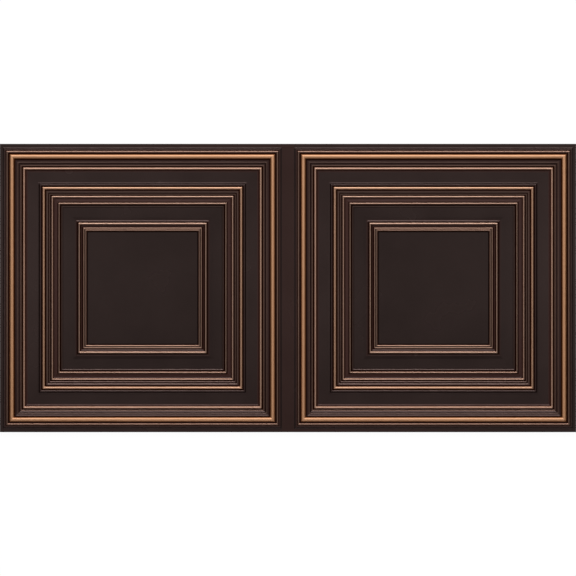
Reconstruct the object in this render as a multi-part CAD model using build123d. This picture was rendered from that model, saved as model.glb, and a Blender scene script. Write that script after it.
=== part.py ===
"""Lay-in ceiling tile with two coffered panels, thermoformed from one PVC sheet.

Millimetres. +Z is the normal of the decorated face, which lies upwards. X runs along the tile's
length. The origin is under the tile's middle, in the plane that the tile rests on when it lies on
a level floor: the backs of the two centre panels, which are its lowest faces.

Every size along the section is a run (plan width) or a rise (change of height, up towards the
decorated face), from the flat lip inwards to the centre panel.
"""

import os

from build123d import *

# Sheet
tile_length = 1210.0
tile_width = 605.0
sheet_thickness = 0.75

# Plan of the flat border
long_side_lip_width = 6.75
short_end_lip_width = 5.75
middle_strip_width = 24.5

# Outer moulding
lip_cove_run = 4.0
lip_cove_rise = 2.0
lip_fillet_run = 3.5
edge_bead_run = 4.8
edge_bead_swell = 1.4
edge_quirk_run = 2.1
edge_quirk_drop = 0.4
main_bead_run = 11.0
main_bead_swell = 4.0
main_bead_drop = 0.6
main_quirk_run = 1.4
main_quirk_drop = 0.1
upper_slope_run = 3.8
upper_slope_drop = 1.2
upper_roll_run = 3.4
upper_roll_swell = 0.5
upper_roll_drop = 0.5
upper_step_run = 0.6
upper_step_drop = 0.5
lower_slope_run = 2.8
lower_slope_drop = 1.0
lower_roll_run = 2.6
lower_roll_swell = 0.5
lower_roll_drop = 0.6
lower_fillet_run = 2.2
field_bead_run = 5.6
field_bead_swell = 1.9
outer_fall_run = 4.2
outer_fall_drop = 2.6

# Field between the outer and the middle moulding
outer_field_run = 19.5

# Middle moulding
middle_cove_run = 4.9
middle_cove_rise = 0.7
middle_groove_run = 0.9
middle_groove_drop = 0.3
middle_reed_run = 3.2
middle_reed_swell = 0.8
middle_reed_rise = 0.9
crest_fillet_run = 2.4
crest_fillet_drop = 0.2
crest_bead_run = 6.6
crest_bead_swell = 2.4
crest_quirk_run = 1.9
crest_quirk_drop = 0.3
crest_roll_run = 4.8
crest_roll_swell = 0.6
crest_roll_drop = 1.6
crest_step_run = 1.0
crest_step_drop = 0.3
step_roll_run = 3.0
step_roll_swell = 0.4
step_roll_drop = 0.9
step_quirk_run = 1.6
step_quirk_rise = 0.3
step_bead_run = 4.4
step_bead_swell = 1.6
step_fall_run = 3.0
step_fall_drop = 1.2
ledge_run = 5.4
ledge_rise = 0.8
nosing_quirk_run = 1.5
nosing_quirk_drop = 0.2
nosing_run = 4.2
nosing_swell = 1.4
nosing_fall_run = 1.3
nosing_fall_drop = 1.8
foot_ledge_run = 1.6
foot_roll_run = 2.6
foot_roll_swell = 0.3
foot_roll_drop = 0.9

# Field between the middle and the inner moulding
inner_field_run = 20.7

# Inner moulding
inner_ramp_run = 6.0
inner_ramp_rise = 0.45
inner_cove_run = 4.3
inner_cove_rise = 1.75
inner_fillet_run = 1.3
inner_bead_run = 4.8
inner_bead_swell = 1.8
inner_quirk_run = 1.4
inner_quirk_drop = 0.4
inner_scotia_run = 4.0
inner_scotia_drop = 1.2
twin_reed_run = 3.9
twin_reed_swell = 1.0
twin_reed_drop = 0.2
inner_fall_run = 1.3
inner_fall_drop = 1.5


class Section:
    """The decorated line of the section, drawn member by member from the lip inwards."""

    def __init__(self):
        self.edges = []
        self.end = Vector(0, 0)

    def _add(self, edge, run, rise):
        self.edges.append(edge)
        self.end += Vector(run, rise)

    def _next(self, run, rise):
        return self.end + Vector(run, rise)

    def slope(self, run, rise=0.0):
        """A straight stretch: a field, fillet or quirk, or a sloping side."""
        self._add(Line(self.end, self._next(run, rise)), run, rise)

    def bead(self, run, swell, rise=0.0):
        """A rounded ridge that stands swell proud of the line between its two feet."""
        self._add(SagittaArc(self.end, self._next(run, rise), swell), run, rise)

    def cove(self, run, rise):
        """A hollow that leaves level and climbs ever more steeply."""
        self._add(TangentArc(self.end, self._next(run, rise), tangent=(1, 0)), run, rise)

    def scotia(self, run, drop):
        """A hollow that falls steeply and runs out level."""
        arc = TangentArc(self._next(run, -drop), self.end, tangent=(-1, 0))
        self._add(arc, run, -drop)


def outer_moulding(section):
    section.cove(lip_cove_run, lip_cove_rise)
    section.slope(lip_fillet_run)
    section.bead(edge_bead_run, edge_bead_swell)
    section.slope(edge_quirk_run, -edge_quirk_drop)
    section.bead(main_bead_run, main_bead_swell, -main_bead_drop)
    section.slope(main_quirk_run, -main_quirk_drop)
    section.slope(upper_slope_run, -upper_slope_drop)
    section.bead(upper_roll_run, upper_roll_swell, -upper_roll_drop)
    section.slope(upper_step_run, -upper_step_drop)
    section.slope(lower_slope_run, -lower_slope_drop)
    section.bead(lower_roll_run, lower_roll_swell, -lower_roll_drop)
    section.slope(lower_fillet_run)
    section.bead(field_bead_run, field_bead_swell)
    section.scotia(outer_fall_run, outer_fall_drop)


def middle_moulding(section):
    section.cove(middle_cove_run, middle_cove_rise)
    section.slope(middle_groove_run, -middle_groove_drop)
    section.bead(middle_reed_run, middle_reed_swell, middle_reed_rise)
    section.slope(crest_fillet_run, -crest_fillet_drop)
    section.bead(crest_bead_run, crest_bead_swell)
    section.slope(crest_quirk_run, -crest_quirk_drop)
    section.bead(crest_roll_run, crest_roll_swell, -crest_roll_drop)
    section.slope(crest_step_run, -crest_step_drop)
    section.bead(step_roll_run, step_roll_swell, -step_roll_drop)
    section.slope(step_quirk_run, step_quirk_rise)
    section.bead(step_bead_run, step_bead_swell)
    section.scotia(step_fall_run, step_fall_drop)
    section.slope(ledge_run, ledge_rise)
    section.slope(nosing_quirk_run, -nosing_quirk_drop)
    section.bead(nosing_run, nosing_swell)
    section.slope(nosing_fall_run, -nosing_fall_drop)
    section.slope(foot_ledge_run)
    section.bead(foot_roll_run, foot_roll_swell, -foot_roll_drop)


def inner_moulding(section):
    section.slope(inner_ramp_run, inner_ramp_rise)
    section.cove(inner_cove_run, inner_cove_rise)
    section.slope(inner_fillet_run)
    section.bead(inner_bead_run, inner_bead_swell)
    section.slope(inner_quirk_run, -inner_quirk_drop)
    section.scotia(inner_scotia_run, inner_scotia_drop)
    section.bead(twin_reed_run, twin_reed_swell)
    section.bead(twin_reed_run, twin_reed_swell, -twin_reed_drop)
    section.slope(inner_fall_run, -inner_fall_drop)


def draw_section():
    section = Section()
    outer_moulding(section)
    section.slope(outer_field_run)
    middle_moulding(section)
    section.slope(inner_field_run)
    inner_moulding(section)
    section.slope(sheet_thickness)  # a level end, so that the section's cut edge stands square
    return section


def sheet_section(line):
    """The sheet cut across: the decorated line, and its back one thickness behind it."""
    outline = Wire(line.edges).offset_2d(sheet_thickness, kind=Kind.ARC, side=Side.RIGHT)
    return Face(outline)


def mitred_side(profile, length):
    """One side of a panel along X, its outer edge on the X axis and both its ends mitred."""
    across = Plane(origin=(-length / 2, 0, 0), x_dir=(0, 1, 0), z_dir=(1, 0, 0))
    side = extrude(across * profile, amount=length, dir=(1, 0, 0))
    for end in (-1, 1):
        mitre = Plane(origin=(end * length / 2, 0, 0), x_dir=(0, 0, 1), z_dir=(-end, -1, 0))
        side = split(side, mitre, keep=Keep.TOP)
    return side


def coffered_panel(line, length, width):
    """A panel round the origin: four mitred sides, and the flat centre that they enclose."""
    profile = sheet_section(line)
    front = Pos(0, -width / 2, 0) * mitred_side(profile, length)
    left = Pos(-length / 2, 0, 0) * Rot(0, 0, -90) * mitred_side(profile, width)
    centre_size = (length - 2 * line.end.X, width - 2 * line.end.X)
    centre = Pos(0, 0, line.end.Y) * extrude(Rectangle(*centre_size), amount=-sheet_thickness)
    return [front, mirror(front, Plane.XZ), left, mirror(left, Plane.YZ), centre]


def flat_border(panel_size, panel_places):
    """The lip round the tile and the strip between its panels, decorated face on the XY plane."""
    plan = Rectangle(tile_length, tile_width)
    plan -= [place * Rectangle(*panel_size) for place in panel_places]
    return extrude(plan, amount=-sheet_thickness)


def ceiling_tile():
    line = draw_section()
    panel_length = (tile_length - middle_strip_width) / 2 - short_end_lip_width
    panel_width = tile_width - 2 * long_side_lip_width
    panel_offset = (panel_length + middle_strip_width) / 2
    panel_places = [Pos(-panel_offset, 0, 0), Pos(panel_offset, 0, 0)]

    panel = coffered_panel(line, panel_length, panel_width)
    pieces = [place * piece for place in panel_places for piece in panel]
    tile = flat_border((panel_length, panel_width), panel_places) + pieces
    lip_height = sheet_thickness - line.end.Y
    return Pos(0, 0, lip_height) * tile


os.makedirs("parts", exist_ok=True)
export_step(ceiling_tile(), "parts/ceiling_tile.step")
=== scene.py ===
"""Looks of a lay-in ceiling tile: one formed PVC sheet, dark bronze with gilded ridges.

The sheet is modelled from a flat plane. Each panel is inset again and again along the section of its
moulding, first for the decorated face and then for the back, and the two sides are closed along the
cut edge. Lengths are in metres, and those of the section are in millimetres.
"""

import logging
import math
from dataclasses import dataclass, field
from enum import Enum
from typing import Any, Callable

import bmesh
import bpy
import numpy as np
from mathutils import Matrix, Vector


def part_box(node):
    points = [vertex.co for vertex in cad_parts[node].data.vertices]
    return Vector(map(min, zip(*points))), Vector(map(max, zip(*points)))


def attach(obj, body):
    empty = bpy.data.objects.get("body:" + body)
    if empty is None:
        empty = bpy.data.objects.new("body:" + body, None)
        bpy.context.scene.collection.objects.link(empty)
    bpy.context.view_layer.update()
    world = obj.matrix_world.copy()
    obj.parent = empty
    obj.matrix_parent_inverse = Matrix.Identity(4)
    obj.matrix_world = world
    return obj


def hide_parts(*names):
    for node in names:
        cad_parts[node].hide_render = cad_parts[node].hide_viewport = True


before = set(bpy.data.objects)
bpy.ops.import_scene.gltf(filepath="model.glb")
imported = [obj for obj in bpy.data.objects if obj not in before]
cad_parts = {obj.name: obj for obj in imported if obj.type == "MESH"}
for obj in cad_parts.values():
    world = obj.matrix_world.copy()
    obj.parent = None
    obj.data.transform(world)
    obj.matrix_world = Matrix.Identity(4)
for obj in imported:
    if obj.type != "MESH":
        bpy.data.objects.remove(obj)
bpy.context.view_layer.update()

LOG = logging.getLogger("ceiling_tile")
MM = 0.001
Colour = tuple[float, float, float]
Place = tuple[float, float, float]
Range = tuple[float, float]


class Form(Enum):
    """The ways in which a member of a moulding crosses its run."""

    SLOPE = "straight"
    BEAD = "rounded ridge"
    COVE = "hollow that leaves level and climbs"
    SCOTIA = "hollow that falls and runs out level"


@dataclass(frozen=True)
class Member:
    """One member of the moulding, in millimetres, going inwards from the lip.

    Attributes:
        name: what a joiner would call it.
        form: how its line crosses the run.
        run: its width in plan.
        rise: its change of height, up towards the decorated face.
        swell: how far a bead stands proud of the line between its feet.
        wash: how far the gold's wash reddens it.
        glaze_and_shade: share of the dark glaze, with the painted shade of hollows, that is left where it is
            hollow.
        stain_and_shade: share of the dark glaze, with painted shade for the shadow of deep steps and quirks,
            that is left all over it.
        gilding: share of metal leaf that is left on a bead.
        burnish: how glossy rubbing leaves its crest.
    """

    name: str
    form: Form
    run: float
    rise: float = 0.0
    swell: float = 0.0
    wash: float = 0.0
    glaze_and_shade: float = 1.0
    stain_and_shade: float = 0.0
    gilding: float = 0.0
    burnish: float = 0.0

    arc_allowance = 1.3  # how much longer than its chord an arc may be

    def held(self) -> tuple[float, float, float]:
        """What finishing and painted shade leave all along it: glaze_and_shade, stain_and_shade and wash."""
        return self.glaze_and_shade, self.stain_and_shade, self.wash

    def line(self, spacing: float) -> np.ndarray:
        """Points along the member, from its start at (0, 0).

        Args:
            spacing: greatest distance between two points.

        Returns:
            Rows of across, height and share of the swell, without the start.
        """
        length = math.hypot(self.run, self.rise) * self.arc_allowance
        count = max(2, math.ceil(length / spacing))
        share = np.linspace(0.0, 1.0, count + 1)[1:]
        if self.form is Form.BEAD:
            return self._bead(share)
        if self.form is Form.COVE:
            return self._hollow(share)
        if self.form is Form.SCOTIA:
            return self._scotia(share)
        return np.column_stack([share * self.run, share * self.rise, np.zeros(count)])

    def _bead(self, share: np.ndarray) -> np.ndarray:
        """An arc between the two feet that stands swell above the line between them.

        Args:
            share: how far along the arc each point lies.

        Returns:
            Rows of across, height and share of the swell.
        """
        half_chord = math.hypot(self.run, self.rise) / 2
        radius = (half_chord**2 + self.swell**2) / (2 * self.swell)
        half_turn = math.atan2(half_chord, radius - self.swell)
        turn = half_turn * (2 * share - 1)
        along = half_chord + radius * np.sin(turn)
        proud = radius * np.cos(turn) - (radius - self.swell)
        tilt = math.atan2(self.rise, self.run)
        across = along * math.cos(tilt) - proud * math.sin(tilt)
        height = along * math.sin(tilt) + proud * math.cos(tilt)
        return np.column_stack([across, height, proud / self.swell])

    def _hollow(self, share: np.ndarray) -> np.ndarray:
        """An arc that starts level and climbs by rise over run.

        Args:
            share: how far along the arc each point lies.

        Returns:
            Rows of across, height and no swell.
        """
        radius = (self.run**2 + self.rise**2) / (2 * self.rise)
        turn = share * 2 * math.atan2(self.rise, self.run)
        return np.column_stack([radius * np.sin(turn), radius * (1 - np.cos(turn)), np.zeros(len(turn))])

    def _scotia(self, share: np.ndarray) -> np.ndarray:
        """The hollow of the same run and drop, followed from its top to its level end."""
        climb = Member(self.name, Form.COVE, self.run, -self.rise)._hollow(1 - share)
        return np.column_stack([self.run - climb[:, 0], self.rise + climb[:, 1], climb[:, 2]])


# glaze_and_shade and stain_and_shade paint shade, together with the antique glaze, into the hollows, quirks
# and steps.
OUTER_MOULDING: tuple[Member, ...] = (
    Member("lip_cove", Form.COVE, run=4.0, rise=2.0),
    Member("lip_fillet", Form.SLOPE, run=3.5, wash=0.6, glaze_and_shade=0.6),
    Member("edge_bead", Form.BEAD, run=4.8, swell=1.4, wash=1.0, gilding=0.37, burnish=0.4),
    Member("edge_quirk", Form.SLOPE, run=2.1, rise=-0.4, wash=1.0, glaze_and_shade=0.8),
    Member("main_bead", Form.BEAD, run=11.0, rise=-0.6, swell=4.0, wash=1.0, gilding=1.0),
    Member("main_quirk", Form.SLOPE, run=1.4, rise=-0.1, wash=1.0, stain_and_shade=1.0),
    Member("stained_slope", Form.SLOPE, run=2.0, rise=-0.63, wash=0.7, stain_and_shade=0.35),
    Member("upper_slope", Form.SLOPE, run=1.8, rise=-0.57, wash=0.3, glaze_and_shade=0.5),
    Member(
        "upper_roll", Form.BEAD, run=3.4, rise=-0.5, swell=0.5, wash=0.3, glaze_and_shade=0.0, gilding=0.08, burnish=0.9
    ),
    Member("upper_step", Form.SLOPE, run=0.6, rise=-0.5, wash=0.6, stain_and_shade=1.0),
    Member("shadow_line", Form.SLOPE, run=0.84, rise=-0.3, wash=0.6, stain_and_shade=1.0),
    Member("lower_slope", Form.SLOPE, run=1.96, rise=-0.7, wash=0.3, glaze_and_shade=0.6),
    Member(
        "lower_roll", Form.BEAD, run=2.6, rise=-0.6, swell=0.5, wash=0.3, glaze_and_shade=0.0, gilding=0.22, burnish=0.9
    ),
    Member("lower_fillet", Form.SLOPE, run=2.2, wash=1.0),
    Member("field_bead", Form.BEAD, run=5.6, swell=1.9, wash=1.0, gilding=0.92, burnish=0.2),
    Member("outer_fall", Form.SCOTIA, run=4.2, rise=-2.6, wash=1.0, glaze_and_shade=0.35),
)

MIDDLE_MOULDING: tuple[Member, ...] = (
    Member("outer_field", Form.SLOPE, run=19.5),
    Member("middle_cove", Form.COVE, run=4.9, rise=0.7),
    Member("middle_groove", Form.SLOPE, run=0.9, rise=-0.3, wash=0.2),
    Member("middle_reed", Form.BEAD, run=3.2, rise=0.9, swell=0.8, wash=0.2),
    Member("crest_fillet", Form.SLOPE, run=2.4, rise=-0.2, wash=0.8),
    Member("crest_bead", Form.BEAD, run=6.6, swell=2.4, wash=1.0, gilding=0.95, burnish=0.4),
    Member("crest_quirk", Form.SLOPE, run=1.9, rise=-0.3, wash=1.0, stain_and_shade=1.0),
    Member("crest_roll", Form.BEAD, run=4.8, rise=-1.6, swell=0.6, wash=0.3, gilding=0.09, burnish=0.9),
    Member("crest_step", Form.SLOPE, run=1.0, rise=-0.3, wash=0.6, stain_and_shade=0.9),
    Member("step_roll", Form.BEAD, run=3.0, rise=-0.9, swell=0.4, wash=0.4, gilding=0.12, burnish=0.9),
    Member("step_quirk", Form.SLOPE, run=1.6, rise=0.3, wash=1.0, stain_and_shade=1.0),
    Member("step_bead", Form.BEAD, run=4.4, swell=1.6, wash=1.0, gilding=0.84, burnish=0.3),
    Member("step_fall", Form.SCOTIA, run=3.0, rise=-1.2, wash=1.0, glaze_and_shade=0.35),
    Member("ledge", Form.SLOPE, run=5.4, rise=0.8, wash=1.0, glaze_and_shade=0.5),
    Member("nosing_quirk", Form.SLOPE, run=1.5, rise=-0.2, wash=1.0),
    Member("nosing", Form.BEAD, run=4.2, swell=1.4, wash=1.0, gilding=0.6, burnish=0.6),
    Member("nosing_fall", Form.SLOPE, run=1.3, rise=-1.8, wash=1.0, stain_and_shade=1.0),
    Member("foot_ledge", Form.SLOPE, run=1.6, wash=0.5, stain_and_shade=0.3),
    Member("foot_roll", Form.BEAD, run=2.6, rise=-0.9, swell=0.3, gilding=0.05, burnish=0.8),
)

INNER_MOULDING: tuple[Member, ...] = (
    Member("inner_field", Form.SLOPE, run=20.7),
    Member("inner_ramp", Form.SLOPE, run=6.0, rise=0.45),
    Member("inner_cove", Form.COVE, run=4.3, rise=1.75, wash=0.5),
    Member("inner_fillet", Form.SLOPE, run=1.3, wash=1.0),
    Member("inner_bead", Form.BEAD, run=4.8, swell=1.8, wash=1.0, gilding=0.8, burnish=0.7),
    Member("inner_quirk", Form.SLOPE, run=1.4, rise=-0.4, wash=1.0, stain_and_shade=1.0),
    Member("inner_scotia", Form.SCOTIA, run=4.0, rise=-1.2, wash=1.0, glaze_and_shade=0.9, stain_and_shade=0.25),
    Member("first_twin_reed", Form.BEAD, run=3.9, swell=1.0, wash=1.0, gilding=0.58),
    Member(
        "second_twin_reed", Form.BEAD, run=3.9, rise=-0.2, swell=1.0, wash=1.0, gilding=0.5, burnish=0.5
    ),
    Member("inner_fall", Form.SLOPE, run=1.3, rise=-1.5, wash=0.6),
    Member("centre_rim", Form.SLOPE, run=0.75),
)


@dataclass(frozen=True)
class Section:
    """The moulding cut across, from the lip to the centre panel, in millimetres.

    Attributes:
        members: the members of the moulding in order.
        softness: how far forming rounds the line off.
        spacing: distance between the points that the line is worked out on.
        margin: length of the level stretch past both ends.
        tolerance: how far the kept points may stray from it.
        mark_tolerance: how far the marks may stray between the kept points.
        covered: shares of a bead's swell between which the leaf comes to cover it.
        crested: shares of a bead's swell between which its crest begins.
        corner_reach: how far the glaze and painted shade reach from a sharp corner.
        cornered: bends, in radians to the millimetre, between which a corner comes to hold glaze and painted
            shade.
        shade_glaze_reach: how wide a hollow they gather in.
        sunken: depths of a hollow between which it comes to hold glaze and painted shade.
        wash_reach: how far the wash spreads.
    """

    members: tuple[Member, ...] = OUTER_MOULDING + MIDDLE_MOULDING + INNER_MOULDING
    softness: float = 0.28
    spacing: float = 0.1
    margin: float = 8.0
    tolerance: float = 0.006
    mark_tolerance: float = 0.04
    covered: Range = (0.0, 0.25)
    crested: Range = (0.5, 1.0)
    corner_reach: float = 1.1
    cornered: Range = (0.10, 0.26)
    shade_glaze_reach: float = 1.3
    sunken: Range = (0.05, 0.3)
    wash_reach: float = 0.7

    def drawn_line(self) -> np.ndarray:
        """The members joined end to end.

        Returns:
            Rows of across, height, gilding, crest, burnish, glaze_and_shade, stain_and_shade and wash.
        """
        start = np.zeros(2)
        no_marks = np.zeros(3)
        rows = [np.array([[*start, *no_marks, *self.members[0].held()]])]
        for member in self.members:
            points = member.line(self.spacing)
            proud = points[:, 2]
            crest = smoothstep(self.crested, proud)
            leaf = smoothstep(self.covered, proud) * member.gilding
            marks = np.column_stack([leaf, crest, crest * member.burnish])
            held = np.tile(member.held(), (len(points), 1))
            rows.append(np.hstack([start + points[:, :2], marks, held]))
            start += (member.run, member.rise)
        return np.vstack(rows)

    def formed_line(self) -> np.ndarray:
        """The drawn line with its corners rounded as forming leaves them.

        Returns:
            The same rows, evenly spaced, with a level stretch past both ends.
        """
        drawn = self.drawn_line()
        length = lengths_along(drawn)
        even = np.arange(0.0, length[-1], self.spacing)
        rows = np.column_stack([np.interp(even, length, column) for column in drawn.T])
        count = round(self.margin / self.spacing)
        past = np.arange(1, count + 1)[:, None] * np.eye(1, rows.shape[1]) * self.spacing
        rows = np.vstack([rows[0] - past[::-1], rows, drawn[-1] + past])
        return softened(rows, self.softness / self.spacing)

    def marked_line(self) -> np.ndarray:
        """The formed line with what finishing left on it, and the painted shade in its hollows.

        Returns:
            Rows of across, height, gilding, crest, burnish, hollow and wash, from 0 to 1 the last five;
            hollow is the glaze with painted shade.
        """
        across, height, gilding, crest, burnish, glaze_and_shade, stain_and_shade, wash = self.formed_line().T
        heading = np.arctan2(np.gradient(height), np.gradient(across))
        bend = np.clip(np.gradient(heading), 0.0, None) / self.spacing
        # Painted shade, together with the antique glaze: darker in sharp inner corners and in hollows that
        # sink below their surroundings.
        corner = smoothstep(self.cornered, self._spread(bend, self.corner_reach))
        sunk = smoothstep(self.sunken, self._spread(height, self.shade_glaze_reach) - height)
        hollow = np.clip(np.maximum(np.maximum(corner, sunk) * glaze_and_shade, stain_and_shade), 0.0, 1.0)
        wash = self._spread(wash, self.wash_reach)
        return np.column_stack([across, height, gilding, crest, burnish, hollow, wash])

    def _spread(self, column: np.ndarray, reach: float) -> np.ndarray:
        """One column of the formed line, softened over a reach in millimetres."""
        return softened(column[:, None], reach / self.spacing)[:, 0]

    def width(self) -> float:
        """Distance from the lip to the centre panel."""
        return sum(member.run for member in self.members)

    def drop(self) -> float:
        """Height of the lip above the centre panel."""
        return -sum(member.rise for member in self.members)

    def face_line(self) -> np.ndarray:
        """The decorated line, as few points as its curves and marks need.

        Returns:
            Rows of across and height, in metres, to a little way into the centre panel.
        """
        line = self.marked_line()
        marks = np.full(line.shape[1] - 2, self.mark_tolerance)
        tolerance = np.concatenate([np.full(2, self.tolerance), marks])
        return self._thinned(line, tolerance, self.width() + self.margin / 2)

    def back_line(self, thickness: float) -> np.ndarray:
        """The line one sheet's thickness behind the decorated one.

        Args:
            thickness: of the sheet, in millimetres.

        Returns:
            Rows of across and height, in metres.
        """
        face = self.formed_line()
        across = np.arange(-self.spacing, self.width() + 2 * self.spacing, self.spacing)
        gap = np.abs(across[:, None] - face[None, :, 0])
        reach = np.sqrt(np.clip(thickness**2 - gap**2, 0.0, None))
        depth = np.where(gap <= thickness, face[None, :, 1] - reach, np.inf).min(axis=1)
        return self._thinned(np.column_stack([across, depth]), np.full(2, self.tolerance), self.width())

    @staticmethod
    def _thinned(rows: np.ndarray, tolerance: np.ndarray, end: float) -> np.ndarray:
        """The points that a line needs to stay within the tolerance, from the lip inwards.

        Args:
            rows: across and height in millimetres, then any marks.
            tolerance: how far each column may stray.
            end: how far across the last point lies.

        Returns:
            Rows of across and height, in metres.
        """
        inside = (rows[:, 0] > 0.0) & (rows[:, 0] < end)
        ends = [[np.interp(place, rows[:, 0], column) for column in rows.T] for place in (0.0, end)]
        line = np.vstack([ends[0], rows[inside], ends[1]])
        length = lengths_along(line)
        kept = {0, len(line) - 1}
        spans = [(0, len(line) - 1)]
        while spans:
            low, high = spans.pop()
            if high - low < 2:
                continue
            share = (length[low + 1 : high] - length[low]) / (length[high] - length[low])
            straight = line[low] + share[:, None] * (line[high] - line[low])
            stray = (np.abs(line[low + 1 : high] - straight) / tolerance).max(axis=1)
            worst = int(stray.argmax())
            if stray[worst] > 1.0:
                middle = low + 1 + worst
                kept.add(middle)
                spans.extend([(low, middle), (middle, high)])
        return line[sorted(kept), :2] * MM


def lengths_along(line: np.ndarray) -> np.ndarray:
    """How far along a line each of its points lies.

    Args:
        line: rows of across and height, then any marks.

    Returns:
        One length to a row, from 0.
    """
    steps = np.hypot(np.diff(line[:, 0]), np.diff(line[:, 1]))
    return np.concatenate([[0.0], np.cumsum(steps)])


def softened(rows: np.ndarray, reach: float, tail: float = 4.0) -> np.ndarray:
    """Columns of evenly spaced values, each averaged with its neighbours.

    Args:
        rows: one row to a place.
        reach: standard deviation of the average, in rows.
        tail: standard deviations that it takes in on each side.

    Returns:
        As many rows.
    """
    half = math.ceil(tail * reach)
    weights = np.exp(-0.5 * (np.arange(-half, half + 1) / reach) ** 2)
    weights /= weights.sum()
    first = rows[:1] + np.arange(-half, 0)[:, None] * (rows[1] - rows[0])
    last = rows[-1:] + np.arange(1, half + 1)[:, None] * (rows[-1] - rows[-2])
    padded = np.vstack([first, rows, last])
    return np.column_stack([np.convolve(column, weights, mode="valid") for column in padded.T])


def smoothstep(limits: Range, values: np.ndarray) -> np.ndarray:
    """Values taken smoothly from 0 to 1.

    Args:
        limits: where the result leaves 0, and where it reaches 1.
        values: the numbers to take.

    Returns:
        As many numbers between 0 and 1.
    """
    low, high = limits
    share = np.clip((values - low) / (high - low), 0.0, 1.0)
    return share * share * (3 - 2 * share)


class Value:
    """A number that varies over a surface: a shader socket with arithmetic."""

    def __init__(self, graph: "Graph", socket: bpy.types.NodeSocket) -> None:
        """Wrap a socket of a graph."""
        self.graph = graph
        self.socket = socket

    def _math(self, operation: str, *values: "Value | float") -> "Value":
        """The result of a Math node on these values."""
        made = self.graph.node("ShaderNodeMath", {"operation": operation}, dict(enumerate(values)))
        return Value(self.graph, made.outputs[0])

    def __add__(self, other: "Value | float") -> "Value":
        """Sum."""
        return self._math("ADD", self, other)

    def __radd__(self, other: float) -> "Value":
        """Sum with a number on the left."""
        return self._math("ADD", other, self)

    def __sub__(self, other: "Value | float") -> "Value":
        """Difference."""
        return self._math("SUBTRACT", self, other)

    def __rsub__(self, other: float) -> "Value":
        """Difference from a number on the left."""
        return self._math("SUBTRACT", other, self)

    def __mul__(self, other: "Value | float") -> "Value":
        """Product."""
        return self._math("MULTIPLY", self, other)

    def __rmul__(self, other: float) -> "Value":
        """Product with a number on the left."""
        return self._math("MULTIPLY", other, self)

    def between(self, limits: Range) -> "Value":
        """The value taken smoothly from 0 to 1.

        Args:
            limits: where the result leaves 0, and where it reaches 1.

        Returns:
            A value between 0 and 1.
        """
        settings = {"interpolation_type": "SMOOTHSTEP"}
        sockets = {"Value": self, "From Min": limits[0], "From Max": limits[1]}
        made = self.graph.node("ShaderNodeMapRange", settings, sockets)
        return Value(self.graph, made.outputs["Result"])


class Graph:
    """A material and the nodes that make it."""

    mix_first = 6  # a Mix node repeats its sockets' names for each kind, so its colours go by index
    mix_second = 7
    mix_result = 2

    def __init__(self, name: str) -> None:
        """Start a material with only its output.

        Args:
            name: of the material.
        """
        self.material = bpy.data.materials.new(name)
        self.material.use_nodes = True
        self.tree = self.material.node_tree
        self.tree.nodes.clear()
        self.output = self.node("ShaderNodeOutputMaterial")

    def node(
        self,
        kind: str,
        settings: dict[str, Any] | None = None,
        sockets: dict[str | int, Any] | None = None,
    ) -> bpy.types.Node:
        """Add a node.

        Args:
            kind: the node's type.
            settings: its own properties, set first.
            sockets: the values or links of its inputs, by name or index.

        Returns:
            The node.
        """
        made = self.tree.nodes.new(kind)
        for name, setting in (settings or {}).items():
            setattr(made, name, setting)
        for key, given in (sockets or {}).items():
            source = given.socket if isinstance(given, Value) else given
            if isinstance(source, bpy.types.NodeSocket):
                self.tree.links.new(source, made.inputs[key])
            else:
                made.inputs[key].default_value = source
        return made

    def attribute(self, name: str) -> Value:
        """A number that the piece's mesh carries."""
        made = self.node("ShaderNodeAttribute", {"attribute_name": name})
        return Value(self, made.outputs["Fac"])

    def noise(self, place: bpy.types.NodeSocket, scale: float, detail: float) -> Value:
        """Soft noise from 0 to 1.

        Args:
            place: the coordinates that it lies on.
            scale: how many lumps it has to a unit of them.
            detail: how many finer layers it has.

        Returns:
            The noise.
        """
        sockets = {"Vector": place, "Scale": scale, "Detail": detail}
        return Value(self, self.node("ShaderNodeTexNoise", None, sockets).outputs["Fac"])

    def stretched(self, place: bpy.types.NodeSocket, scale: Place) -> bpy.types.NodeSocket:
        """Coordinates scaled by a different number along each axis."""
        return self.node("ShaderNodeMapping", None, {"Vector": place, "Scale": scale}).outputs["Vector"]

    def grained(self, height: Value, strength: float, depth: float) -> bpy.types.NodeSocket:
        """The surface's normal with a fine grain.

        Args:
            height: the grain.
            strength: how much of it shows.
            depth: how deep it is, in metres.

        Returns:
            The socket of the normal.
        """
        sockets = {"Strength": strength, "Distance": depth, "Height": height}
        return self.node("ShaderNodeBump", None, sockets).outputs["Normal"]

    def blend(self, share: Value | float, first: Any, second: Any) -> bpy.types.NodeSocket:
        """A colour between two.

        Args:
            share: 0 for the first and 1 for the second.
            first: a colour, or a socket that gives one.
            second: the other.

        Returns:
            The socket of the mixed colour.
        """
        sockets: dict[str | int, Any] = {0: share}
        for key, given in ((self.mix_first, first), (self.mix_second, second)):
            sockets[key] = given if isinstance(given, bpy.types.NodeSocket) else (*given, 1.0)
        return self.node("ShaderNodeMix", {"data_type": "RGBA"}, sockets).outputs[self.mix_result]

    def principled(self, sockets: dict[str | int, Any]) -> bpy.types.Node:
        """A Principled shader with these values and links."""
        return self.node("ShaderNodeBsdfPrincipled", None, sockets)

    def mixed(self, share: Value, first: bpy.types.Node, second: bpy.types.Node) -> bpy.types.Node:
        """A shader between two.

        Args:
            share: 0 for the first and 1 for the second.
            first: a shader's node.
            second: the other.

        Returns:
            The node that mixes them.
        """
        sockets = {0: share, 1: first.outputs[0], 2: second.outputs[0]}
        return self.node("ShaderNodeMixShader", None, sockets)

    def close(self, shader: bpy.types.Node) -> bpy.types.Material:
        """Link the last shader to the output, and hand the finished material over."""
        self.tree.links.new(shader.outputs[0], self.output.inputs["Surface"])
        return self.material


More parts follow.
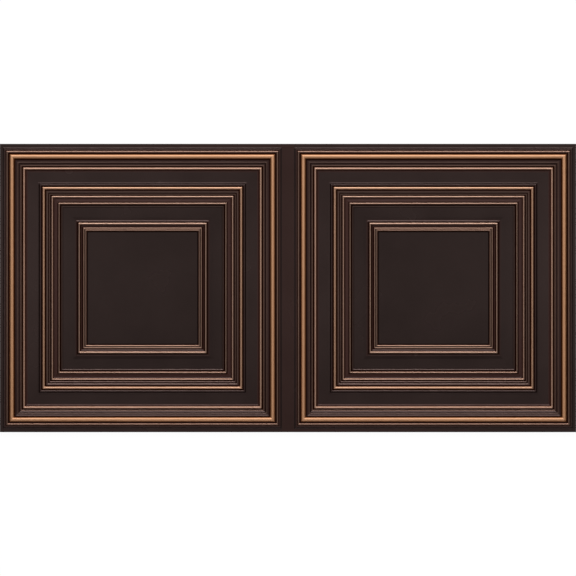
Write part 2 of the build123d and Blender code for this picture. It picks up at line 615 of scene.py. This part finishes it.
@dataclass(frozen=True)
class AntiqueFace:
    """The decorated side: dark bronze-brown satin, with copper-gold rubbed on the ridges, a dark glaze with
    painted shade in the hollows, and painted light towards the lip.

    Attributes:
        brown_dark: the sheet's dark clouds, and the sheet towards the centre panels, where no painted light
            lies.
        brown_pale: the sheet's pale clouds, and the sheet towards the lip, painted lighter there as if more
            lit.
        russet: the sheet under the gold's wash.
        plain_shade_glaze: the glaze and painted shade in the hollows of the plain sheet.
        washed_shade_glaze: the glaze and painted shade in the hollows of the wash.
        copper: the flanks of a bead with part of its leaf.
        amber: the flanks of a bead with all its leaf.
        rose: the crest of a bead with part of its leaf.
        gold: the crest of a bead with all its leaf.
        full_leaf: shares of leaf between which a bead counts as having all of it.
        gloss: how strongly the bare sheet shines.
        sheen_tint: colour of that shine.
        metal_leaf: shares of leaf between which it comes to look like metal.
        polish: how far full burnish takes the roughness down.
        coat_crest: parts of the crest between which a clear coat is left on the leaf.
        lit_rim_share: how much of the brown's tone goes by the distance from the lip, as painted light that
            makes the sheet lighter near it.
        lit_rim_fade: distances from the lip, in metres, between which that painted light fades.
        cloud_share: how much of the brown's tone is cloudy.
        cloud_edge: values of the cloud's noise between which it turns pale.
        cloud_dryness: how far the roughness follows the cloud.
        bare_leaf: shares of leaf between which the grain vanishes.
        streak_scale: lumps of the leaf's streaks to a metre, along and across the moulding.
        streak_share: how far the leaf follows the streaks.
    """

    name: str = "antique_bronze_face"
    brown_dark: Colour = (0.0190, 0.0118, 0.0107)
    brown_pale: Colour = (0.0410, 0.0258, 0.0236)
    russet: Colour = (0.058, 0.0235, 0.0190)
    plain_shade_glaze: Colour = (0.0090, 0.0050, 0.0045)
    washed_shade_glaze: Colour = (0.0130, 0.0018, 0.0003)
    copper: Colour = (0.32, 0.095, 0.032)
    amber: Colour = (0.48, 0.175, 0.062)
    rose: Colour = (0.79, 0.495, 0.365)
    gold: Colour = (0.90, 0.495, 0.265)
    full_leaf: Range = (0.9, 1.0)
    brown_roughness: float = 0.26
    gloss: float = 0.6
    sheen_tint: Colour = (1.0, 0.70, 0.64)
    gold_roughness: float = 0.59
    gold_metallic: float = 0.95
    metal_leaf: Range = (0.0, 0.5)
    polish: float = 0.5
    coat_crest: Range = (0.5, 1.0)
    coat_roughness: float = 0.33
    shade_glaze_roughness: float = 0.8
    lit_rim_share: float = 0.7
    lit_rim_fade: Range = (0.03, 0.2)
    cloud_scale: float = 9.0
    cloud_detail: float = 3.0
    cloud_share: float = 0.3
    cloud_edge: Range = (0.3, 0.7)
    cloud_dryness: float = 0.1
    grain_scale: float = 900.0
    grain_detail: float = 2.0
    grain_strength: float = 0.05
    grain_depth: float = 0.2 * MM
    bare_leaf: Range = (0.0, 0.1)
    streak_scale: Place = (12.0, 700.0, 1.0)
    streak_detail: float = 3.0
    streak_share: float = 0.08

    def material(self) -> bpy.types.Material:
        """Make the finish.

        Returns:
            The material.
        """
        graph = Graph(self.name)
        place = graph.node("ShaderNodeTexCoord").outputs["Object"]
        moulding = graph.node("ShaderNodeUVMap", {"uv_map": FormedTile.uv_name}).outputs["UV"]
        across = Value(graph, graph.node("ShaderNodeSeparateXYZ", None, {0: moulding}).outputs["Y"])
        gilding, crest, burnish, hollow, wash = (graph.attribute(name) for name in FormedTile.mark_names)

        cloud = graph.noise(place, self.cloud_scale, self.cloud_detail)
        grain = graph.noise(place, self.grain_scale, self.grain_detail)
        streak = graph.noise(graph.stretched(moulding, self.streak_scale), 1.0, self.streak_detail)

        # Painted light: the brown is lighter near the lip and fades towards the centre panels, on top of its
        # random clouds.
        lit_near_rim = 1 - across.between(self.lit_rim_fade)
        tone = self.lit_rim_share * lit_near_rim + self.cloud_share * cloud.between(self.cloud_edge)
        brown = graph.blend(wash, graph.blend(tone, self.brown_dark, self.brown_pale), self.russet)
        full = gilding.between(self.full_leaf)
        flank = graph.blend(full, self.copper, self.amber)
        leaf = graph.blend(crest, flank, graph.blend(full, self.rose, self.gold))

        gold = gilding + (streak - 0.5) * self.streak_share * gilding
        brown_dry = self.brown_roughness + (cloud - 0.5) * self.cloud_dryness
        dry = brown_dry + gold * (self.gold_roughness - self.brown_roughness)
        bare_grain = grain * (1 - gilding.between(self.bare_leaf))
        sheet = graph.principled(
            {
                "Base Color": graph.blend(gold, brown, leaf),
                "Metallic": gold.between(self.metal_leaf) * self.gold_metallic,
                "Roughness": dry * (1 - burnish * self.polish),
                "Coat Weight": crest.between(self.coat_crest) * gold,
                "Coat Roughness": self.coat_roughness,
                "Specular IOR Level": self.gloss,
                "Specular Tint": (*self.sheen_tint, 1.0),
                "Normal": graph.grained(bare_grain, self.grain_strength, self.grain_depth),
            }
        )
        # Painted shade, together with the antique glaze: a dark shader without any shine, for the hollows.
        glaze_and_shade = graph.principled(
            {
                "Base Color": graph.blend(wash, self.plain_shade_glaze, self.washed_shade_glaze),
                "Roughness": self.shade_glaze_roughness,
                "Specular IOR Level": 0.0,
            }
        )
        # The hollow mark lays this painted shade and glaze in everywhere except on the crests.
        return graph.close(graph.mixed(hollow * (1 - crest), sheet, glaze_and_shade))


@dataclass(frozen=True)
class BareBack:
    """The back and the cut edge: the sheet's own dull dark brown.

    Attributes:
        brown_dark: the darker clouds of the sheet.
        brown_pale: the paler ones.
        cloud_edge: values of the cloud's noise between which it turns pale.
        cloud_dryness: how far the roughness follows the cloud.
    """

    name: str = "bare_pvc_back"
    brown_dark: Colour = (0.016, 0.0115, 0.0105)
    brown_pale: Colour = (0.024, 0.0175, 0.016)
    roughness: float = 0.55
    cloud_scale: float = 12.0
    cloud_detail: float = 3.0
    cloud_edge: Range = (0.3, 0.7)
    cloud_dryness: float = 0.15
    grain_scale: float = 700.0
    grain_detail: float = 2.0
    grain_strength: float = 0.2
    grain_depth: float = 0.2 * MM

    def material(self) -> bpy.types.Material:
        """Make the finish.

        Returns:
            The material.
        """
        graph = Graph(self.name)
        place = graph.node("ShaderNodeTexCoord").outputs["Object"]
        cloud = graph.noise(place, self.cloud_scale, self.cloud_detail)
        grain = graph.noise(place, self.grain_scale, self.grain_detail)
        sheet = graph.principled(
            {
                "Base Color": graph.blend(cloud.between(self.cloud_edge), self.brown_dark, self.brown_pale),
                "Roughness": self.roughness + (cloud - 0.5) * self.cloud_dryness,
                "Normal": graph.grained(grain, self.grain_strength, self.grain_depth),
            }
        )
        return graph.close(sheet)


@dataclass
class FormedTile:
    """The tile: a sheet with two coffered panels formed into it.

    Attributes:
        section: the moulding round each panel.
        node: of the solid that the sheet shows.
        slot: of that solid's material; not used.
        thickness: of the sheet.
        long_side_lip: width of the flat lip on the two long sides.
        short_end_lip: width of the flat lip at the two short ends.
        middle_strip: width of the flat strip between the panels.
        strip_wash: how far the wash tints that strip.
        mitre_softness: how far the mitred corners are rounded off.
        mitre_segments: how many faces round them off.
        sharp_angle: the least angle between faces that stays sharp.
    """

    section: Section = field(default_factory=Section)
    node: str = "ceiling_tile"
    slot: str = "antique_bronze_pvc"
    thickness: float = 0.75 * MM
    long_side_lip: float = 6.75 * MM
    short_end_lip: float = 5.75 * MM
    middle_strip: float = 24.5 * MM
    strip_wash: float = 0.45
    mitre_softness: float = 0.7 * MM
    mitre_segments: int = 3
    sharp_angle: float = math.radians(50)

    uv_name = "moulding"
    mark_names = ("gilding", "crest", "burnish", "hollow", "wash")
    back_index = 1  # of the back's material
    slack = 0.01 * MM  # within which two places are the same
    least_run = 0.001 * MM  # under which an edge doesn't run along an axis

    def __post_init__(self) -> None:
        """Take the outline from the frame, and the panels' sizes from the outline."""
        low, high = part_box(self.node)
        self.length = high.x - low.x
        self.width = high.y - low.y
        self.panel_length = (self.length - self.middle_strip) / 2 - self.short_end_lip
        self.panel_width = self.width - 2 * self.long_side_lip
        self.panel_offset = (self.panel_length + self.middle_strip) / 2
        self.lip_height = self.section.drop() * MM + self.thickness

    def build(self) -> bpy.types.Object:
        """Model the sheet.

        Returns:
            The finished piece, at the origin.
        """
        face = self._formed_side("formed_sheet", self.section.face_line())
        back = self._formed_side("formed_back", self.section.back_line(self.thickness / MM))
        self._turn_over(back)
        tile = self._closed(face, back)
        self._mark(tile)
        self._map(tile)
        self._smooth(tile)
        LOG.info("%s: %d faces", tile.name, len(tile.data.polygons))
        return tile

    def dress(self, tile: bpy.types.Object) -> None:
        """Give the sheet its finishes and its place in the frame.

        Args:
            tile: the piece that build made.
        """
        tile.data.materials.append(AntiqueFace().material())
        tile.data.materials.append(BareBack().material())
        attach(tile, "root")
        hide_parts(self.node)

    def _formed_side(self, name: str, line: np.ndarray) -> bpy.types.Object:
        """One side of the sheet, facing up.

        Args:
            name: of the object.
            line: rows of across and height along the section, in metres.

        Returns:
            The object, in object mode.
        """
        bpy.ops.object.select_all(action="DESELECT")
        start = Vector((0, 0, self.lip_height + line[0, 1]))
        bpy.ops.mesh.primitive_plane_add(size=1.0, location=start)
        side = bpy.context.object
        side.name = name
        bpy.ops.object.mode_set(mode="EDIT")
        bpy.ops.transform.resize(value=(self.length, self.width, 1.0))
        self._cut_panels(side)
        for across, height in np.diff(line, axis=0):
            bpy.ops.mesh.inset(thickness=across, depth=height)
        self._round_mitres(side)
        bpy.ops.object.mode_set(mode="OBJECT")
        bpy.ops.object.transform_apply(location=True, rotation=True, scale=True)
        return side

    def _cut_panels(self, side: bpy.types.Object) -> None:
        """Cut the outlines of the panels into the plane, and leave their faces selected.

        Args:
            side: the plane, in edit mode.
        """
        inner = self.middle_strip / 2
        outer = inner + self.panel_length
        half = self.panel_width / 2
        cuts = [(Vector((x, 0, 0)), Vector((1, 0, 0))) for x in (-outer, -inner, inner, outer)]
        cuts += [(Vector((0, y, 0)), Vector((0, 1, 0))) for y in (-half, half)]
        for place, normal in cuts:
            bpy.ops.mesh.select_all(action="SELECT")
            bpy.ops.mesh.bisect(plane_co=place, plane_no=normal)
        self._select_faces(side, self._in_panel)

    def _in_panel(self, centre: Vector) -> bool:
        """Whether a face with this centre belongs to a panel."""
        beside = abs(abs(centre.x) - self.panel_offset)
        return beside < self.panel_length / 2 and abs(centre.y) < self.panel_width / 2

    @staticmethod
    def _select_faces(piece: bpy.types.Object, wanted: Callable[[Vector], bool]) -> None:
        """Select the wanted faces, and no others.

        Args:
            piece: the object, in edit mode.
            wanted: whether a face with this centre is wanted.
        """
        bpy.ops.mesh.select_mode(type="FACE")
        bpy.ops.mesh.select_all(action="DESELECT")
        mesh = bmesh.from_edit_mesh(piece.data)
        for face in mesh.faces:
            face.select_set(wanted(face.calc_center_median()))
        bmesh.update_edit_mesh(piece.data)

    @staticmethod
    def _select_edges(piece: bpy.types.Object, wanted: Callable[[bmesh.types.BMEdge], bool]) -> None:
        """Select the wanted edges, and no others.

        Args:
            piece: the object, in edit mode.
            wanted: whether an edge is wanted.
        """
        bpy.ops.mesh.select_mode(type="EDGE")
        bpy.ops.mesh.select_all(action="DESELECT")
        mesh = bmesh.from_edit_mesh(piece.data)
        for edge in mesh.edges:
            edge.select_set(wanted(edge))
        bmesh.update_edit_mesh(piece.data)

    def _round_mitres(self, side: bpy.types.Object) -> None:
        """Round off the edges along which the sides of a panel meet.

        Args:
            side: the side of the sheet, in edit mode.
        """
        self._select_edges(side, self._is_mitre)
        bpy.ops.mesh.bevel(
            offset=self.mitre_softness,
            segments=self.mitre_segments,
            affect="EDGES",
            clamp_overlap=False,
        )

    def _is_mitre(self, edge: bmesh.types.BMEdge) -> bool:
        """Whether an edge runs across a corner in plan."""
        run = edge.verts[1].co - edge.verts[0].co
        return min(abs(run.x), abs(run.y)) > self.least_run

    @staticmethod
    def _turn_over(side: bpy.types.Object) -> None:
        """Make a side face down.

        Args:
            side: the side of the sheet, in object mode.
        """
        bpy.ops.object.select_all(action="DESELECT")
        side.select_set(True)
        bpy.context.view_layer.objects.active = side
        bpy.ops.object.mode_set(mode="EDIT")
        bpy.ops.mesh.select_all(action="SELECT")
        bpy.ops.mesh.flip_normals()
        bpy.ops.object.mode_set(mode="OBJECT")

    def _closed(self, face: bpy.types.Object, back: bpy.types.Object) -> bpy.types.Object:
        """Join the two sides along the cut edge.

        Args:
            face: the decorated side.
            back: the other side.

        Returns:
            The closed sheet, in the decorated side's object.
        """
        face_count = len(face.data.polygons)
        bpy.ops.object.select_all(action="DESELECT")
        back.select_set(True)
        face.select_set(True)
        bpy.context.view_layer.objects.active = face
        bpy.ops.object.join()
        for polygon in face.data.polygons[face_count:]:
            polygon.material_index = self.back_index
        bpy.ops.object.mode_set(mode="EDIT")
        self._select_edges(face, lambda edge: edge.is_boundary)
        bpy.ops.mesh.bridge_edge_loops()
        self._select_faces(face, self._on_rim)
        bpy.ops.object.mode_set(mode="OBJECT")
        for polygon in face.data.polygons:
            if polygon.select:
                polygon.material_index = self.back_index
        return face

    def _on_rim(self, centre: Vector) -> bool:
        """Whether a face with this centre lies in the cut edge."""
        past_end = abs(centre.x) > self.length / 2 - self.slack
        return past_end or abs(centre.y) > self.width / 2 - self.slack

    @staticmethod
    def _points(mesh: bpy.types.Mesh) -> np.ndarray:
        """The places of a mesh's points.

        Args:
            mesh: the mesh.

        Returns:
            Rows of x, y and z.
        """
        places = np.empty(len(mesh.vertices) * 3)
        mesh.vertices.foreach_get("co", places)
        return places.reshape(-1, 3)

    def _inwards(self, points: np.ndarray) -> tuple[np.ndarray, np.ndarray]:
        """How far inside its panel's short and long sides each point lies."""
        beside = self.panel_length / 2 - np.abs(np.abs(points[:, 0]) - self.panel_offset)
        return beside, self.panel_width / 2 - np.abs(points[:, 1])

    def _mark(self, tile: bpy.types.Object) -> None:
        """Write what forming and finishing left on each point, and the painted shade in its hollows.

        Args:
            tile: the closed sheet.
        """
        points = self._points(tile.data)
        across = np.minimum(*self._inwards(points)) / MM
        line = self.section.marked_line()
        between = np.abs(points[:, 0]) < self.middle_strip / 2 + self.slack
        for name, column in zip(self.mark_names, line.T[2:]):
            values = np.interp(across, line[:, 0], column)
            if name == "wash":
                values[between] = self.strip_wash
            layer = tile.data.attributes.new(name, "FLOAT", "POINT")
            layer.data.foreach_set("value", values.astype(np.float32))

    def _map(self, tile: bpy.types.Object) -> None:
        """Write how far along and across its moulding each corner of a face lies, in metres.

        Args:
            tile: the closed sheet.
        """
        mesh = tile.data
        points = self._points(mesh)
        beside, ahead = self._inwards(points)
        corners = np.empty(len(mesh.loops), np.int32)
        mesh.loops.foreach_get("vertex_index", corners)
        side_run = np.zeros(len(mesh.loops), bool)
        for polygon in mesh.polygons:
            loops = list(polygon.loop_indices)
            own = corners[loops]
            side_run[loops] = beside[own].mean() < ahead[own].mean()
        along = np.where(side_run, points[corners, 1], points[corners, 0])
        across = np.minimum(beside, ahead)[corners]
        coordinates = np.column_stack([along, across]).ravel()
        mesh.uv_layers.new(name=self.uv_name).data.foreach_set("uv", coordinates.astype(np.float32))

    def _smooth(self, tile: bpy.types.Object) -> None:
        """Shade the curves smoothly, and keep the flats flat and the cut edge sharp.

        Args:
            tile: the closed sheet.
        """
        bpy.ops.object.select_all(action="DESELECT")
        tile.select_set(True)
        bpy.context.view_layer.objects.active = tile
        bpy.ops.object.shade_smooth_by_angle(angle=self.sharp_angle)
        weighted = tile.modifiers.new("flats_stay_flat", "WEIGHTED_NORMAL")
        weighted.keep_sharp = True
        bpy.ops.object.modifier_apply(modifier=weighted.name)


@dataclass(frozen=True)
class Softbox:
    """A lamp with a soft oblong face, turned to the tile.

    Attributes:
        name: of the lamp.
        place: of its middle.
        size: of its face, along the tile and across.
        power: in watts.
    """

    name: str
    place: Place
    size: Range
    power: float

    def hang(self) -> None:
        """Add the lamp to the scene."""
        lamp = bpy.data.lights.new(self.name, "AREA")
        lamp.shape = "RECTANGLE"
        lamp.size, lamp.size_y = self.size
        lamp.energy = self.power
        hung = bpy.data.objects.new(self.name, lamp)
        hung.location = self.place
        hung.rotation_euler = (-Vector(self.place)).to_track_quat("-Z", "Y").to_euler()
        bpy.context.scene.collection.objects.link(hung)
        LOG.info("%s: %g W", self.name, self.power)


LAMPS: tuple[Softbox, ...] = (
    Softbox("head_lamp", place=(0.0, 2.5, 3.0), size=(3.6, 1.3), power=92.0),
    Softbox("foot_lamp", place=(0.0, -1.6, 1.75), size=(2.2, 0.8), power=6.0),
    Softbox("end_lamp", place=(-0.82, 0.05, 2.0), size=(0.45, 1.5), power=0.95),
    Softbox("end_lamp", place=(0.82, 0.05, 2.0), size=(0.45, 1.5), power=0.95),
)


@dataclass(frozen=True)
class Studio:
    """The floor, the lamps and the camera.

    Attributes:
        floor_size: side of the square floor.
        floor_gap: how far it lies under the tile.
        floor_colour: that lamps light.
        floor_white: strength of the white that the camera sees instead.
        floor_glow: share of that white in what the camera sees.
        lamps: the soft lamps.
        ambient: strength of the light all round.
        lens: focal length of the camera, in millimetres.
        sensor: width of its sensor, in millimetres.
        overscan: width that fills the picture, as a share of the tile's length.
        view_reach: how far the camera sees.
    """

    floor_size: float = 40.0
    floor_gap: float = 0.2 * MM
    floor_colour: Colour = (0.8, 0.8, 0.8)
    floor_white: float = 1.06
    floor_glow: float = 0.92
    lamps: tuple[Softbox, ...] = LAMPS
    ambient: float = 0.04
    lens: float = 200.0
    sensor: float = 36.0
    overscan: float = 0.999
    view_reach: float = 100.0

    def lay_floor(self) -> None:
        """Lay a plain white floor just under the tile."""
        bpy.ops.object.select_all(action="DESELECT")
        bpy.ops.mesh.primitive_plane_add(size=self.floor_size, location=(0, 0, -self.floor_gap))
        floor = bpy.context.object
        floor.name = "floor"
        graph = Graph("white_floor")
        path = graph.node("ShaderNodeLightPath").outputs
        seen = Value(graph, path["Is Camera Ray"]) + Value(graph, path["Is Glossy Ray"])
        seen = seen + Value(graph, path["Is Transmission Ray"])
        paint = graph.node("ShaderNodeBsdfDiffuse", None, {"Color": (*self.floor_colour, 1.0)})
        glow = graph.node("ShaderNodeEmission", None, {"Strength": self.floor_white})
        floor.data.materials.append(graph.close(graph.mixed(seen * self.floor_glow, paint, glow)))
        LOG.info("%s: %g m square", floor.name, self.floor_size)

    def light(self) -> None:
        """Hang the lamps, and let a faint light come from all round."""
        world = bpy.data.worlds.new("studio")
        world.use_nodes = True
        background = world.node_tree.nodes["Background"].inputs
        background["Color"].default_value = (1, 1, 1, 1)
        background["Strength"].default_value = self.ambient
        bpy.context.scene.world = world
        for lamp in self.lamps:
            lamp.hang()

    def look_down(self, tile: FormedTile) -> None:
        """Put the camera straight above the tile, so that the tile's length fills the picture.

        Args:
            tile: what it looks at.
        """
        eye = bpy.data.cameras.new("eye")
        eye.lens = self.lens
        eye.sensor_width = self.sensor
        eye.clip_end = self.view_reach
        stand = bpy.data.objects.new("eye", eye)
        distance = self.overscan * tile.length * self.lens / self.sensor
        stand.location = (0, 0, tile.lip_height + distance)
        bpy.context.scene.collection.objects.link(stand)
        bpy.context.scene.camera = stand
        LOG.info("%s: %.2f m above the tile", stand.name, distance)


def main() -> None:
    """Build the tile, dress it and light it."""
    logging.basicConfig(level=logging.INFO, format="%(name)s: %(message)s")
    bpy.context.scene.view_settings.view_transform = "Standard"
    tile = FormedTile()
    sheet = tile.build()
    tile.dress(sheet)
    studio = Studio()
    studio.lay_floor()
    studio.light()
    studio.look_down(tile)


if __name__ == "__main__":
    main()
